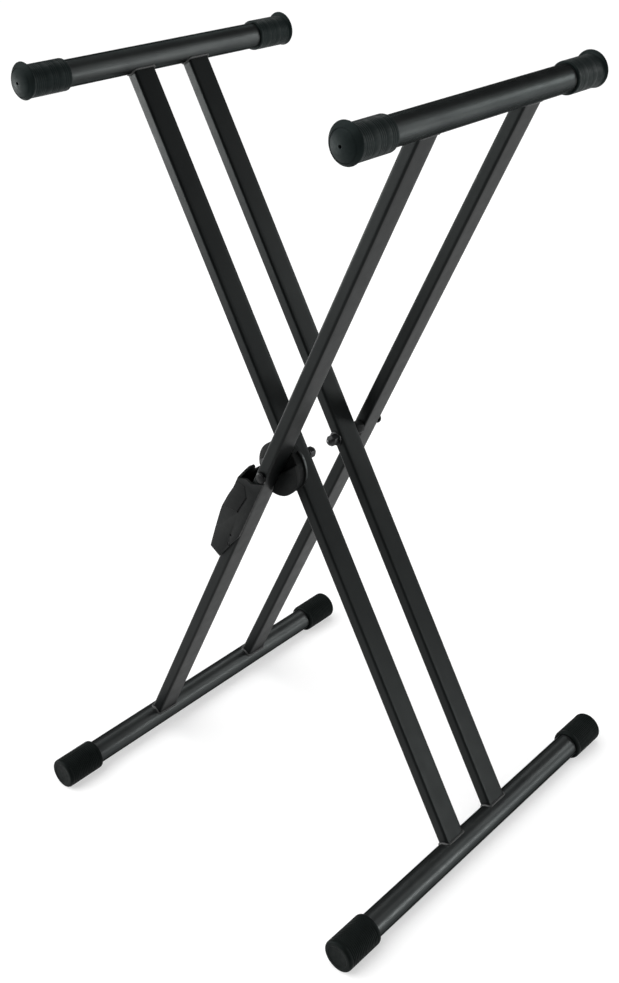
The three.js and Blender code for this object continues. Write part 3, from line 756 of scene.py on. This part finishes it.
def softbox(name, azimuth, elevation, size, power):
    """A soft rectangular lamp facing the stand. Low ones shine level and stay above the floor."""
    light = bpy.data.lights.new(name, "AREA")
    light.shape = "RECTANGLE"
    light.size, light.size_y = size
    light.energy = power
    lamp = bpy.data.objects.new(name, light)
    az, el = math.radians(azimuth), math.radians(elevation)
    away = Vector((math.cos(az) * math.cos(el), math.sin(az) * math.cos(el), math.sin(el)))
    place = STUDIO_CENTRE + SOFTBOX_DISTANCE * away
    place.z = max(place.z, size[1] / 2 + LAMP_FLOOR_GAP)
    target = STUDIO_CENTRE if elevation > LEVEL_UP_TO else Vector((0, 0, place.z))
    lamp.location = place
    lamp.rotation_mode = "QUATERNION"
    lamp.rotation_quaternion = (target - place).to_track_quat("-Z", "Y")
    lamp.visible_camera = False
    bpy.context.scene.collection.objects.link(lamp)


def soft_sun(name, direction, strength, spread_deg):
    light = bpy.data.lights.new(name, "SUN")
    light.energy = strength
    light.angle = math.radians(spread_deg)
    lamp = bpy.data.objects.new(name, light)
    lamp.rotation_mode = "QUATERNION"
    lamp.rotation_quaternion = Vector(direction).to_track_quat("-Z", "Y")
    bpy.context.scene.collection.objects.link(lamp)


def build_world():
    world = bpy.data.worlds.new("studio")
    world.use_nodes = True
    background = world.node_tree.nodes["Background"]
    background.inputs["Color"].default_value = (1, 1, 1, 1)
    background.inputs["Strength"].default_value = WORLD_STRENGTH
    bpy.context.scene.world = world


build_floor()
build_world()
soft_sun("key", KEY_DIRECTION, KEY_STRENGTH, KEY_SPREAD_DEG)
for row in SOFTBOXES:
    softbox(*row)

# ------------------------------------------------------------------ camera

PHOTO_W, PHOTO_H = 619, 983
FOCAL_PX = 1367.07
CENTRE_PX = (350.08, 355.68)  # where the optical axis meets the picture
CAMERA_PLACE = Vector((0.9787, -1.0579 + FRAME_SHIFT, 1.1787))
CAMERA_AZ, CAMERA_EL, CAMERA_ROLL = 41.32, 22.826, -1.343  # degrees
SENSOR_MM = 36
CLIP_NEAR, CLIP_FAR = 0.05, 100


def build_camera():
    az, el, roll = (math.radians(v) for v in (CAMERA_AZ, CAMERA_EL, CAMERA_ROLL))
    back = Vector((math.sin(az) * math.cos(el), -math.cos(az) * math.cos(el), math.sin(el)))
    right = Vector((0, 0, 1)).cross(back).normalized()
    up = back.cross(right)
    turned_right = math.cos(roll) * right + math.sin(roll) * up
    turned_up = -math.sin(roll) * right + math.cos(roll) * up
    data = bpy.data.cameras.new("camera")
    data.sensor_width = SENSOR_MM
    data.lens = FOCAL_PX * SENSOR_MM / PHOTO_H
    data.shift_x = (PHOTO_W / 2 - CENTRE_PX[0]) / PHOTO_H
    data.shift_y = (CENTRE_PX[1] - PHOTO_H / 2) / PHOTO_H
    data.clip_start, data.clip_end = CLIP_NEAR, CLIP_FAR
    camera = bpy.data.objects.new("camera", data)
    basis = Matrix((turned_right, turned_up, back)).transposed()
    camera.matrix_world = Matrix.Translation(CAMERA_PLACE) @ basis.to_4x4()
    bpy.context.scene.collection.objects.link(camera)
    bpy.context.scene.camera = camera


build_camera()
bpy.context.scene.view_settings.view_transform = "Standard"
